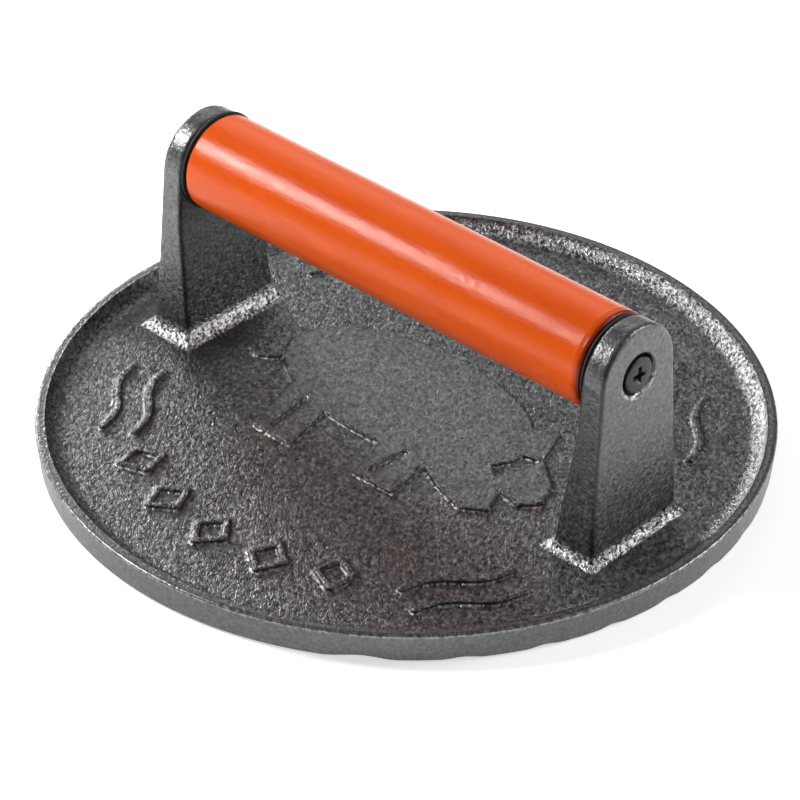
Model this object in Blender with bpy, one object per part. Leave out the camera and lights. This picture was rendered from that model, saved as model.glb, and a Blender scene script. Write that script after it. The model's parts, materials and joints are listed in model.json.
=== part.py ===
"""Round cast-iron bacon press: a heavy plate with two cast uprights and a turned wooden grip.

Metres, +Z up. The origin is the centre of the underside, X runs along the grip. The "near" side
is +X and the "far" side is -X. The two ends differ only in the fillet at the upright's foot and in
the diameter of the fibre washer.

The grip is a bored wooden sleeve. A threaded tie rod runs through it, and a sleeve nut with a
cross recess closes each end. The nuts' barrels pass through the uprights and reach into the
grip, which turns on them. A black fibre washer separates the grip from each upright, and a
spring washer sits under each nut's head in the upright's counterbore.
"""

import math

import bmesh
import bpy
from mathutils import Matrix, Vector

GAP = 0.0003                    # clearance between neighbouring pieces

# Plate
PLATE_RADIUS = 0.110
PLATE_FOOT_RADIUS = 0.1093      # the side wall drafts in towards the underside
FOOT_ROUND = 0.0006
RIM_HEIGHT = 0.0097
RIM_TOP_WIDTH = 0.0030
RIM_EDGE_ROUND = 0.0006
FIELD_RADIUS = 0.1015           # flat inside of the rim's concave slope
FIELD_HEIGHT = 0.0058
RIM_SLOPE_POWER = 1.5           # how hollow the rim's inner slope is
RIM_SLOPE_STEPS = 4
PLATE_SIDES = 96

# Ribbed underside: shallow round-bottomed valleys that run along X out to the side wall
RIB_PITCH = 0.0195
VALLEY_WIDTH = 0.0100
VALLEY_DEPTH = 0.0006
VALLEY_PAIRS = 5
LAST_VALLEY_WIDTH = 0.0130
LAST_VALLEY_DEPTH = 0.0012
VALLEY_STEPS = 6
VALLEY_CUT_REACH = 0.130        # the cutters run past the side wall

# Uprights
GRIP_HEIGHT = 0.0612            # grip axis above the underside
POST_ARC_HEIGHT = 0.0606        # centre of the rounded top, cast slightly below the grip axis
POST_TOP_RADIUS = 0.0155
POST_BASE_HALF_WIDTH = 0.0186
POST_SEAT = 0.0786              # flat inner face that the fibre washer bears on
POST_SEAT_FOOT = 0.0460         # below this height the inner face slopes in towards the base
POST_INNER_BASE = 0.0736
POST_OUTER_BASE = 0.0883
POST_OUTER_TOP = 0.0861
POST_EDGE_ROUND = 0.0008
POST_ROOT = 0.0015              # how far the uprights reach down into the plate
POST_FILLETS = {1: 0.0034, -1: 0.0048}   # the far upright was cast with a fuller foot
POST_FILLET_STEPS = 4
POST_FILLET_START = math.radians(10)
POST_FLANK_STEPS = 4
POST_ARC_STEPS = 10

# Hardware, all on the grip axis
BORE_RADIUS = 0.0040            # through the uprights, the fibre washers and the grip
COUNTERBORE_RADIUS = 0.0063
COUNTERBORE_FLOOR = 0.0834
NUT_HEAD_RADIUS = 0.0055
NUT_HEAD_TOP = 0.0869
NUT_HEAD_THICKNESS = 0.0020
NUT_HEAD_CHAMFER = 0.0004
NUT_BARREL_END = 0.0620         # the barrel reaches from the head into the grip's bore
RECESS_SPAN = 0.0058
RECESS_SLOT = 0.0011
RECESS_DEPTH = 0.0014
RECESS_TAPER = 0.45             # how much shorter the recess is at its bottom
RECESS_NARROWING = 0.7          # how much narrower each slot is there
TIE_ROD_RADIUS = 0.0025
TIE_ROD_CHAMFER = 0.0005
SPRING_WASHER_RADIUS = 0.0050
SPRING_WASHER_CUT = 0.0008
SPRING_WASHER_SLANT = math.radians(20)
SPRING_WASHER_CUT_HEIGHT = 0.0040   # more than the washer's thickness, to cut right through
HARDWARE_SIDES = 32

# Grip and its fibre washers
GRIP_RADIUS = 0.0151
GRIP_LENGTH = 0.1544
GRIP_END_LENGTH = 0.0012        # along the axis, of the rounded-over ends
GRIP_END_DROP = 0.0010          # in radius
GRIP_END_STEPS = 4
GRIP_SIDES = 48
FIBRE_WASHER_RADII = {1: 0.0146, -1: 0.0156}   # near and far
FIBRE_WASHER_THICKNESS = 0.0008

SMOOTH_ANGLE = math.radians(30)  # facets that meet at less than this are shaded as one surface

# Raised decoration cast on the field
RELIEF_HEIGHT = 0.0011
MARK_RING_RADIUS = 0.0810
MARK_COUNT = 5
MARK_STEP = math.radians(14.5)
MARK_LENGTH = 0.0130            # radial
MARK_WIDTH = 0.0110             # tangential
MARK_STROKE_WIDTH = 0.0021
WAVE_STARTS = ((0.0540, -0.0630), (0.0630, -0.0675))   # of the right-hand pair, before the shift
WAVE_RUN = (0.0165, 0.0275)
WAVE_SHIFT = 0.0033             # both front pairs sit this far towards +X
WAVE_HEIGHT = 0.0017
WAVE_WIDTH = 0.0022
WAVE_STEPS = 12
RELIEF_ROOT = 0.0010            # how far the raised shapes reach down into the plate

# A plain pig seen from its side: a body, a curled tail and convex pieces with straight edges
PIG_BODY_CENTRE = (-0.006, 0.007)
PIG_BODY_RADII = (0.046, 0.0245)
PIG_PIECES = {
    "pig_jaw": [(0.018, -0.012), (0.021, -0.0155), (0.030, -0.0205), (0.043, -0.0245),
                (0.051, -0.0195), (0.0465, -0.0105), (0.036, -0.002)],
    "pig_snout": [(0.040, -0.008), (0.0465, -0.0105), (0.055, -0.012), (0.060, -0.0065),
                  (0.056, 0.002), (0.046, 0.010)],
    "pig_ear": [(0.028, 0.004), (0.046, 0.009), (0.041, 0.023), (0.033, 0.020)],
    "pig_back_leg": [(-0.037, -0.008), (-0.0285, -0.035), (-0.024, -0.036), (-0.0275, -0.012)],
    "pig_back_leg_near": [(-0.025, -0.011), (-0.0225, -0.036), (-0.013, -0.036), (-0.0195, -0.010)],
    "pig_back_foot": [(-0.0285, -0.0330), (-0.0280, -0.0360), (-0.0130, -0.0360), (-0.0140, -0.0330)],
    "pig_front_leg": [(0.003, -0.012), (0.0095, -0.0315), (0.0120, -0.0325), (0.0130, -0.012)],
    "pig_front_leg_near": [(0.0152, -0.012), (0.0140, -0.0330), (0.025, -0.0325), (0.0212, -0.012)],
    "pig_front_foot": [(0.0095, -0.0300), (0.0100, -0.0330), (0.0250, -0.0325), (0.0240, -0.0300)],
}
TAIL_CENTRE = (-0.0545, -0.0035)
TAIL_RADII = (0.0036, 0.0062)   # the curl opens from the first to the second
TAIL_TURNS = (math.radians(-200), math.radians(32))
TAIL_WIDTH = 0.0018
TAIL_STEPS = 10


def clear_scene():
    for item in list(bpy.data.objects):
        bpy.data.objects.remove(item, do_unlink=True)


def material(name, colour, roughness, metallic):
    made = bpy.data.materials.new(name)
    made.use_nodes = True
    made.diffuse_color = (*colour, 1.0)
    shader = made.node_tree.nodes["Principled BSDF"]
    shader.inputs["Base Color"].default_value = (*colour, 1.0)
    shader.inputs["Roughness"].default_value = roughness
    shader.inputs["Metallic"].default_value = metallic
    return made


def object_from(bm, name):
    """Turn a bmesh into an object with outward faces, and free the bmesh."""
    bmesh.ops.remove_doubles(bm, verts=bm.verts, dist=1e-6)
    bmesh.ops.recalc_face_normals(bm, faces=bm.faces)
    mesh = bpy.data.meshes.new(name)
    bm.to_mesh(mesh)
    bm.free()
    made = bpy.data.objects.new(name, mesh)
    bpy.context.scene.collection.objects.link(made)
    return made


def finish(item, surface):
    """Give an object its one material, and shade its round sides smooth."""
    item.data.materials.clear()
    item.data.materials.append(surface)
    item.data.shade_smooth()
    item.data.set_sharp_from_angle(angle=SMOOTH_ANGLE)


def combine(target, tool, operation):
    """Apply a Boolean of target with tool, and remove the tool."""
    step = target.modifiers.new("combine", "BOOLEAN")
    step.operation = operation
    step.solver = "EXACT"
    step.object = tool
    bpy.context.view_layer.update()
    evaluated = target.evaluated_get(bpy.context.evaluated_depsgraph_get())
    result = bpy.data.meshes.new_from_object(evaluated)
    target.modifiers.clear()
    target.data = result
    bpy.data.objects.remove(tool, do_unlink=True)


def turned(name, profile, sides, closed=False):
    """Spin (radius, height) points about local Z. An open profile gets flat ends."""
    bm = bmesh.new()
    points = [bm.verts.new((radius, 0.0, height)) for radius, height in profile]
    edges = [bm.edges.new(pair) for pair in zip(points, points[1:])]
    if closed:
        edges.append(bm.edges.new((points[-1], points[0])))
    bmesh.ops.spin(bm, geom=points + edges, cent=(0, 0, 0), axis=(0, 0, 1),
                   angle=math.tau, steps=sides, use_merge=True)
    bmesh.ops.remove_doubles(bm, verts=bm.verts, dist=1e-6)
    bmesh.ops.holes_fill(bm, edges=[edge for edge in bm.edges if edge.is_boundary], sides=0)
    return object_from(bm, name)


def prism(name, outline, bottom, top):
    """Extrude a flat (x, y) outline between two heights."""
    bm = bmesh.new()
    face = bm.faces.new([bm.verts.new((x, y, bottom)) for x, y in outline])
    raised = bmesh.ops.extrude_face_region(bm, geom=[face])["geom"]
    moved = [part for part in raised if isinstance(part, bmesh.types.BMVert)]
    bmesh.ops.translate(bm, verts=moved, vec=(0, 0, top - bottom))
    return object_from(bm, name)


def ribbon(name, path, width, bottom, top, closed=False):
    """Extrude a strip of constant width that follows a flat path of points, with mitred corners."""
    count = len(path)
    sides = []
    for index in range(count):
        here = Vector(path[index])
        before = here - Vector(path[index - 1])
        after = Vector(path[(index + 1) % count]) - here
        if not closed and index == 0:
            before = after
        if not closed and index == count - 1:
            after = before
        along = (before.normalized() + after.normalized()).normalized()
        mitre = width / 2 / along.dot(before.normalized())
        across = Vector((-along.y, along.x)) * mitre
        sides.append((here + across, here - across))
    bm = bmesh.new()
    rows = [[bm.verts.new((x, y, bottom)) for x, y in pair] for pair in sides]
    pairs = list(zip(rows, rows[1:]))
    if closed:
        pairs.append((rows[-1], rows[0]))
    faces = [bm.faces.new((a[0], a[1], b[1], b[0])) for a, b in pairs]
    raised = bmesh.ops.extrude_face_region(bm, geom=faces)["geom"]
    moved = [part for part in raised if isinstance(part, bmesh.types.BMVert)]
    bmesh.ops.translate(bm, verts=moved, vec=(0, 0, top - bottom))
    return object_from(bm, name)


def ellipse(centre, radii, steps=28):
    """Outline of an ellipse."""
    points = []
    for index in range(steps):
        angle = math.tau * index / steps
        points.append((centre[0] + radii[0] * math.cos(angle), centre[1] + radii[1] * math.sin(angle)))
    return points


# --- Casting ----------------------------------------------------------------------------------

def plate():
    """The round plate with its rim: side wall, flat rim top and concave inner slope."""
    slope_outer = PLATE_RADIUS - RIM_TOP_WIDTH
    slope_run = slope_outer - FIELD_RADIUS
    slope_rise = RIM_HEIGHT - FIELD_HEIGHT
    profile = [
        (PLATE_FOOT_RADIUS - FOOT_ROUND, 0.0),
        (PLATE_FOOT_RADIUS, FOOT_ROUND),
        (PLATE_RADIUS, RIM_HEIGHT - RIM_EDGE_ROUND),
        (PLATE_RADIUS - RIM_EDGE_ROUND, RIM_HEIGHT),
    ]
    for index in range(RIM_SLOPE_STEPS + 1):
        inward = math.sin(math.pi / 2 * index / RIM_SLOPE_STEPS)
        profile.append((slope_outer - slope_run * inward,
                        FIELD_HEIGHT + slope_rise * (1 - inward) ** RIM_SLOPE_POWER))
    return turned("cast_base", profile, PLATE_SIDES)


def valley(position, width, depth):
    """A long bar with a round top that cuts one valley into the underside."""
    radius = (width * width / 4 + depth * depth) / (2 * depth)
    half_angle = math.asin(width / 2 / radius)
    outline = []
    for index in range(VALLEY_STEPS + 1):
        angle = half_angle * (1 - 2 * index / VALLEY_STEPS)
        outline.append((position + radius * math.sin(angle), depth - radius * (1 - math.cos(angle))))
    outline.append((position - width / 2, -depth))
    outline.append((position + width / 2, -depth))
    bm = bmesh.new()
    face = bm.faces.new([bm.verts.new((-VALLEY_CUT_REACH, y, z)) for y, z in outline])
    grown = bmesh.ops.extrude_face_region(bm, geom=[face])["geom"]
    moved = [part for part in grown if isinstance(part, bmesh.types.BMVert)]
    bmesh.ops.translate(bm, verts=moved, vec=(2 * VALLEY_CUT_REACH, 0, 0))
    return object_from(bm, "valley_cutter")


def post_inner(height):
    """X of the upright's inner face: a flat seat above, a slope below it."""
    below = max(0.0, POST_SEAT_FOOT - height) / (POST_SEAT_FOOT - FIELD_HEIGHT)
    return POST_SEAT + (POST_INNER_BASE - POST_SEAT) * below


def post_outer(height):
    """X of the upright's drafted outer face."""
    share = (height - FIELD_HEIGHT) / (POST_ARC_HEIGHT + POST_TOP_RADIUS - FIELD_HEIGHT)
    return POST_OUTER_BASE + (POST_OUTER_TOP - POST_OUTER_BASE) * share


def post_outline(fillet):
    """Half outline from the foot to the apex: (half width, height, outward normal, flare)."""
    rows = [(POST_BASE_HALF_WIDTH, FIELD_HEIGHT - POST_ROOT, (1.0, 0.0), fillet)]
    for index in range(POST_FILLET_STEPS + 1):
        turn = POST_FILLET_START + (math.pi / 2 - POST_FILLET_START) * index / POST_FILLET_STEPS
        height = FIELD_HEIGHT + fillet * (1 - math.cos(turn))
        rows.append((POST_BASE_HALF_WIDTH, height, (1.0, 0.0), fillet * (1 - math.sin(turn))))
    flank_foot = FIELD_HEIGHT + fillet
    heights = [POST_SEAT_FOOT]
    for index in range(1, POST_FLANK_STEPS):
        heights.append(flank_foot + (POST_ARC_HEIGHT - flank_foot) * index / POST_FLANK_STEPS)
    for height in sorted(heights):
        share = (height - flank_foot) / (POST_ARC_HEIGHT - flank_foot)
        half_width = POST_BASE_HALF_WIDTH + (POST_TOP_RADIUS - POST_BASE_HALF_WIDTH) * share
        rows.append((half_width, height, (1.0, 0.0), 0.0))
    for index in range(POST_ARC_STEPS + 1):
        turn = math.pi / 2 * index / POST_ARC_STEPS
        normal = (math.cos(turn), math.sin(turn))
        rows.append((POST_TOP_RADIUS * normal[0], POST_ARC_HEIGHT + POST_TOP_RADIUS * normal[1],
                     normal, 0.0))
    return rows


def post(name, side):
    """One upright: rungs of eight corners stacked from the foot to the rounded top."""
    bm = bmesh.new()
    rings = []
    for half_width, height, normal, flare in post_outline(POST_FILLETS[side]):
        edge_y = half_width + flare
        face_y = edge_y - POST_EDGE_ROUND * normal[0]
        face_z = height - POST_EDGE_ROUND * normal[1]
        inner, outer = post_inner(face_z) - flare, post_outer(face_z) + flare
        edge_inner = post_inner(height) - flare + POST_EDGE_ROUND
        edge_outer = post_outer(height) + flare - POST_EDGE_ROUND
        corners = [(inner, -face_y, face_z), (edge_inner, -edge_y, height),
                   (edge_outer, -edge_y, height), (outer, -face_y, face_z),
                   (outer, face_y, face_z), (edge_outer, edge_y, height),
                   (edge_inner, edge_y, height), (inner, face_y, face_z)]
        rings.append([bm.verts.new((side * x, side * y, z)) for x, y, z in corners])
    for lower, upper in zip(rings, rings[1:]):
        for index in range(8):
            after = (index + 1) % 8
            bm.faces.new((lower[index], lower[after], upper[after], upper[index]))
    bm.faces.new(rings[0])
    bmesh.ops.dissolve_degenerate(bm, dist=1e-7, edges=bm.edges)
    return object_from(bm, name)


def pig_shapes(bottom, top):
    """The pig as overlapping prisms on the middle of the field."""
    shapes = [prism("pig_body", ellipse(PIG_BODY_CENTRE, PIG_BODY_RADII), bottom, top)]
    for name, outline in PIG_PIECES.items():
        shapes.append(prism(name, outline, bottom, top))
    curl = []
    for index in range(TAIL_STEPS + 1):
        share = index / TAIL_STEPS
        angle = TAIL_TURNS[0] + (TAIL_TURNS[1] - TAIL_TURNS[0]) * share
        radius = TAIL_RADII[0] + (TAIL_RADII[1] - TAIL_RADII[0]) * share
        curl.append((TAIL_CENTRE[0] + radius * math.cos(angle),
                     TAIL_CENTRE[1] + radius * math.sin(angle)))
    shapes.append(ribbon("pig_tail", curl, TAIL_WIDTH, bottom, top))
    return shapes


def ring_point(radius, angle):
    """A point on the field, with the angle counted from the front (-Y) towards +X."""
    return (radius * math.sin(angle), -radius * math.cos(angle))


def lozenge(angle):
    """Corners of one plain diamond that points outwards along its radius."""
    reach, spread = MARK_LENGTH / 2, MARK_WIDTH / 2 / MARK_RING_RADIUS
    return [ring_point(MARK_RING_RADIUS - reach, angle), ring_point(MARK_RING_RADIUS, angle - spread),
            ring_point(MARK_RING_RADIUS + reach, angle), ring_point(MARK_RING_RADIUS, angle + spread)]


def wave(start, side):
    """A wavy stroke on the front right (side 1) or front left (side -1) of the field."""
    length = math.hypot(*WAVE_RUN)
    across = (WAVE_RUN[1] / length, -WAVE_RUN[0] / length)
    path = []
    for index in range(WAVE_STEPS + 1):
        share = index / WAVE_STEPS
        swing = -WAVE_HEIGHT * math.sin(math.tau * share)
        x = start[0] + WAVE_RUN[0] * share + across[0] * swing
        y = start[1] + WAVE_RUN[1] * share + across[1] * swing
        path.append((side * x + WAVE_SHIFT, y))
    return path


def ring_marks(bottom, top):
    """Five open diamonds front and back, and a pair of wavy strokes on all four sides."""
    marks = []
    for half_turn in (0.0, math.pi):
        for index in range(MARK_COUNT):
            angle = half_turn + MARK_STEP * (index - (MARK_COUNT - 1) / 2)
            marks.append(ribbon("mark", lozenge(angle), MARK_STROKE_WIDTH, bottom, top, closed=True))
    for side in (1, -1):
        for start in WAVE_STARTS:
            path = wave(start, side)
            marks.append(ribbon("wave", path, WAVE_WIDTH, bottom, top))
            behind = [(-x, -y) for x, y in path]
            marks.append(ribbon("wave", behind, WAVE_WIDTH, bottom, top))
    return marks


def axis_cylinder(radius, start, end):
    """A solid cylinder on the grip axis, from x=start to x=end."""
    made = turned("cutter", [(radius, start), (radius, end)], HARDWARE_SIDES)
    made.data.transform(Matrix.Translation((0, 0, GRIP_HEIGHT)) @ Matrix.Rotation(math.pi / 2, 4, "Y"))
    return made


def cast_base(iron):
    base = plate()
    bottom = FIELD_HEIGHT - RELIEF_ROOT
    top = FIELD_HEIGHT + RELIEF_HEIGHT
    for shape in pig_shapes(bottom, top) + ring_marks(bottom, top):
        combine(base, shape, "UNION")
    for side in (1, -1):
        combine(base, post("post", side), "UNION")
    for index in range(VALLEY_PAIRS):
        last = index == VALLEY_PAIRS - 1
        width = LAST_VALLEY_WIDTH if last else VALLEY_WIDTH
        depth = LAST_VALLEY_DEPTH if last else VALLEY_DEPTH
        for side in (1, -1):
            combine(base, valley(side * RIB_PITCH * (index + 0.5), width, depth), "DIFFERENCE")
    combine(base, axis_cylinder(BORE_RADIUS, -PLATE_RADIUS, PLATE_RADIUS), "DIFFERENCE")
    for side in (1, -1):
        ends = sorted((side * COUNTERBORE_FLOOR, side * PLATE_RADIUS))
        combine(base, axis_cylinder(COUNTERBORE_RADIUS, *ends), "DIFFERENCE")
    base.name = "cast_base"
    finish(base, iron)


# --- Grip and hardware ------------------------------------------------------------------------

def place(item, axis, direction):
    """Lay a piece turned about local Z along the grip axis, its +Z towards direction * X."""
    item.parent = axis
    item.rotation_euler = (0, direction * math.pi / 2, 0)


def wooden_grip(axis, wood):
    near = []
    for index in range(GRIP_END_STEPS + 1):
        turn = math.pi / 2 * index / GRIP_END_STEPS
        near.append((GRIP_RADIUS - GRIP_END_DROP * (1 - math.cos(turn)),
                     GRIP_LENGTH / 2 - GRIP_END_LENGTH * (1 - math.sin(turn))))
    far = [(radius, -height) for radius, height in reversed(near)]
    profile = [(BORE_RADIUS, -GRIP_LENGTH / 2)] + far + near + [(BORE_RADIUS, GRIP_LENGTH / 2)]
    grip = turned("wooden_grip", profile, GRIP_SIDES, closed=True)
    finish(grip, wood)
    place(grip, axis, 1)


def tie_rod(axis, steel):
    half = COUNTERBORE_FLOOR - 2 * GAP
    radius, chamfer = TIE_ROD_RADIUS, TIE_ROD_CHAMFER
    rod = turned("tie_rod", [(radius - chamfer, -half), (radius, chamfer - half),
                             (radius, half - chamfer), (radius - chamfer, half)], HARDWARE_SIDES)
    finish(rod, steel)
    place(rod, axis, 1)


def cross_recess():
    """Cutter for the drive recess: two crossed slots that narrow downwards."""
    cutter = None
    for turn in (0.0, math.pi / 2):
        bm = bmesh.new()
        bmesh.ops.create_cube(bm, size=1.0)
        for corner in bm.verts:
            narrow = RECESS_TAPER if corner.co.z < 0 else 1.0
            corner.co.x *= RECESS_SPAN * narrow
            corner.co.y *= RECESS_SLOT * (RECESS_NARROWING if corner.co.z < 0 else 1.0)
            corner.co.z = NUT_HEAD_TOP + (GAP if corner.co.z > 0 else -RECESS_DEPTH)
        bmesh.ops.rotate(bm, verts=bm.verts, cent=(0, 0, 0), matrix=Matrix.Rotation(turn, 3, "Z"))
        slot = object_from(bm, "slot")
        if cutter is None:
            cutter = slot
        else:
            combine(cutter, slot, "UNION")
    return cutter


def sleeve_nuts(axis, steel):
    """Two equal nuts: a flat head with a cross recess, and a bored barrel behind it."""
    barrel = BORE_RADIUS - GAP
    bore = TIE_ROD_RADIUS + GAP
    under_head = NUT_HEAD_TOP - NUT_HEAD_THICKNESS
    profile = [(bore, NUT_BARREL_END), (barrel, NUT_BARREL_END), (barrel, under_head),
               (NUT_HEAD_RADIUS, under_head), (NUT_HEAD_RADIUS, NUT_HEAD_TOP - NUT_HEAD_CHAMFER),
               (NUT_HEAD_RADIUS - NUT_HEAD_CHAMFER, NUT_HEAD_TOP)]
    near = turned("sleeve_nut_near", profile, HARDWARE_SIDES)
    drilling = turned("drilling", [(bore, NUT_BARREL_END - GAP), (bore, COUNTERBORE_FLOOR - GAP)],
                      HARDWARE_SIDES)
    combine(near, drilling, "DIFFERENCE")
    combine(near, cross_recess(), "DIFFERENCE")
    near.name = "sleeve_nut_near"
    finish(near, steel)
    far = bpy.data.objects.new("sleeve_nut_far", near.data)
    bpy.context.scene.collection.objects.link(far)
    place(near, axis, 1)
    place(far, axis, -1)


def fibre_washers(axis, fibre):
    inner = GRIP_LENGTH / 2 + GAP
    outer = inner + FIBRE_WASHER_THICKNESS
    for name, direction in (("fibre_washer_near", 1), ("fibre_washer_far", -1)):
        radius = FIBRE_WASHER_RADII[direction]
        washer = turned(name, [(BORE_RADIUS, inner), (radius, inner),
                               (radius, outer), (BORE_RADIUS, outer)], GRIP_SIDES, closed=True)
        finish(washer, fibre)
        place(washer, axis, direction)


def spring_washers(axis, steel):
    """Split rings under the nuts' heads; the cut is a narrow slanted slot."""
    inner = COUNTERBORE_FLOOR + GAP
    outer = NUT_HEAD_TOP - NUT_HEAD_THICKNESS - GAP
    for name, direction in (("spring_washer_near", 1), ("spring_washer_far", -1)):
        washer = turned(name, [(BORE_RADIUS, inner), (SPRING_WASHER_RADIUS, inner),
                               (SPRING_WASHER_RADIUS, outer), (BORE_RADIUS, outer)],
                        HARDWARE_SIDES, closed=True)
        bm = bmesh.new()
        bmesh.ops.create_cube(bm, size=1.0)
        bmesh.ops.scale(bm, verts=bm.verts,
                        vec=(SPRING_WASHER_CUT, 2 * SPRING_WASHER_RADIUS, SPRING_WASHER_CUT_HEIGHT))
        bmesh.ops.rotate(bm, verts=bm.verts, cent=(0, 0, 0),
                         matrix=Matrix.Rotation(SPRING_WASHER_SLANT, 3, "Y"))
        bmesh.ops.translate(bm, verts=bm.verts, vec=(0, SPRING_WASHER_RADIUS, (inner + outer) / 2))
        combine(washer, object_from(bm, "split"), "DIFFERENCE")
        finish(washer, steel)
        place(washer, axis, direction)


def main():
    clear_scene()
    iron = material("cast_iron", (0.13, 0.13, 0.135), 0.55, 0.85)
    wood = material("stained_wood", (0.72, 0.13, 0.02), 0.30, 0.0)
    steel = material("blackened_steel", (0.10, 0.10, 0.105), 0.40, 0.9)
    fibre = material("black_fibre", (0.015, 0.015, 0.016), 0.7, 0.0)
    axis = bpy.data.objects.new("grip_axis", None)
    axis.location = (0, 0, GRIP_HEIGHT)
    bpy.context.scene.collection.objects.link(axis)
    cast_base(iron)
    wooden_grip(axis, wood)
    tie_rod(axis, steel)
    sleeve_nuts(axis, steel)
    fibre_washers(axis, fibre)
    spring_washers(axis, steel)
    bpy.context.view_layer.update()


main()
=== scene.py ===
"""Looks of the round cast-iron bacon press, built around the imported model.

Metres, +Z up, X along the grip. The casting, the grip, the nuts and the fibre washers are remade
finely here; the tie rod and the spring washers keep their CAD shapes.
"""

import json
import math

import bmesh
import bpy
import numpy as np
from mathutils import Matrix, Vector, noise


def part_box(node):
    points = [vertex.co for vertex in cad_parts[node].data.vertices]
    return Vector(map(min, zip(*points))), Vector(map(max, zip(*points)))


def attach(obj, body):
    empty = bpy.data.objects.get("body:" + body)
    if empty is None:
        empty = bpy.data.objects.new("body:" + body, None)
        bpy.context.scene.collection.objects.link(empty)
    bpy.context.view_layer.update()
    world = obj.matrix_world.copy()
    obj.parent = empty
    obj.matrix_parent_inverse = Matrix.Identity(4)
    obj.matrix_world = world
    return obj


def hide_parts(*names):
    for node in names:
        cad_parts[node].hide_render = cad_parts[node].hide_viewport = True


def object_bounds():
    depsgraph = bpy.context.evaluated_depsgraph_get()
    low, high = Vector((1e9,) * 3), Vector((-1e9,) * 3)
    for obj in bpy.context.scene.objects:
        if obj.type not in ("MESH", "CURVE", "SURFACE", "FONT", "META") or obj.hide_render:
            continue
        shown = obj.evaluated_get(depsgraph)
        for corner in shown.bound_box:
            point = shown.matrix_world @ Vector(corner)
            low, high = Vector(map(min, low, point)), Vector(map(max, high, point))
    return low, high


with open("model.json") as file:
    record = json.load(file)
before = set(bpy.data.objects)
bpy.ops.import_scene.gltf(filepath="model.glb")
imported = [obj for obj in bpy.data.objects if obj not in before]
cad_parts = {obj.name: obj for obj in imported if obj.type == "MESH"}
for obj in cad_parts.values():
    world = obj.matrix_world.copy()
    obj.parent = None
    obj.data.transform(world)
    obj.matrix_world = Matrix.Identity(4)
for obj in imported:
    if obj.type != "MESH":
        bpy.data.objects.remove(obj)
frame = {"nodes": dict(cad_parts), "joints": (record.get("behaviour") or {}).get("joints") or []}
cad_low, cad_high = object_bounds()
joint = frame["joints"][0]

# --- Sizes that come from the frame -------------------------------------------------------------
GRIP_AXIS = Vector(joint["pos_m"])
GRIP_HEIGHT = GRIP_AXIS.z
PLATE_RADIUS = (cad_high[0] - cad_low[0]) / 2
GRIP_LOW, GRIP_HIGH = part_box("wooden_grip")
NUT_LOW, NUT_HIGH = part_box("sleeve_nut_near")
SPRING_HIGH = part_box("spring_washer_near")[1]

# --- Casting: the CAD's own sizes, with a finer surface -----------------------------------------
PLATE_FOOT_RADIUS = 0.1093
WALL_FOOT_HEIGHT = 0.0006       # the wall's lowest ring lies this far above the underside
UNDER_CENTRE = 0.0006           # the underside's rings shrink towards this radius
RIM_HEIGHT = 0.0097
RIM_TOP_WIDTH = 0.0030
RIM_EDGE_ROUND = 0.0007
RIM_EDGE_STEPS = 5
RIM_TOP_INSET = 0.0006          # the rim top's first ring lies this far outside the slope
RIM_TOP_STEPS = 4
RIM_SLOPE_STEPS = 14
RIM_SLOPE_SHARES = (0.55, 0.45)   # how much of the rim's slope is a power curve, and how much an arc
RIM_SLOPE_POWER = 1.6
WALL_STEPS = 12
FIELD_RADIUS = 0.1015
FIELD_HEIGHT = 0.0058
CELL = 0.00075                  # widest mesh cell on the plate's top
TOP_STEP = 0.0005
UNDER_STEP = 0.0010
COARSEST_RING = 32
FINEST_RING = 1024
RIB_PITCH = 0.0195
VALLEY_WIDTH = 0.0100
VALLEY_DEPTH = 0.0006
LAST_VALLEY = 4
LAST_VALLEY_WIDTH = 0.0130
LAST_VALLEY_DEPTH = 0.0012

POST_ARC_HEIGHT = 0.0606
POST_TOP_RADIUS = 0.0155
POST_BASE_HALF_WIDTH = 0.0186
POST_SEAT = 0.0786
POST_SEAT_FOOT = 0.0460
POST_INNER_BASE = 0.0736
POST_OUTER_BASE = 0.0883
POST_OUTER_TOP = 0.0861
POST_EDGE_ROUND = 0.0008
POST_FILLETS = {1: 0.0034, -1: 0.0048}      # at the near (+X) and the far (-X) upright
POST_SINK = 0.0030              # how far the uprights reach into the plate
POST_FLARE_START = 6            # degrees: the fillet starts a little above the field's level
POST_FLARE_STEPS = 12
POST_FLANK_STEPS = 12
POST_ARC_STEPS = 32
POST_CELL = 0.00055
POST_SMOOTHING = (0.5, 3)       # factor and repeats
BORE_RADIUS = 0.0040
COUNTERBORE_RADIUS = 0.0063
COUNTERBORE_FLOOR = 0.0834
COUNTERBORE_BREAK = 0.0007      # its edge is broken by this much
BORE_SIDES = 96

# The cast surface's unevenness: (cell, height) of each size of noise.
PLATE_UNEVENNESS = ((0.0140, 0.00010), (0.0030, 0.00005), (0.0012, 0.00004))
POST_UNEVENNESS = ((0.0030, 0.00006), (0.0011, 0.00003))
UNEVENNESS_SEED = 7
RIM_EVENNESS = 0.75             # the rim has this much less of it
SHARP_IRON_ANGLE = math.radians(50)

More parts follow.
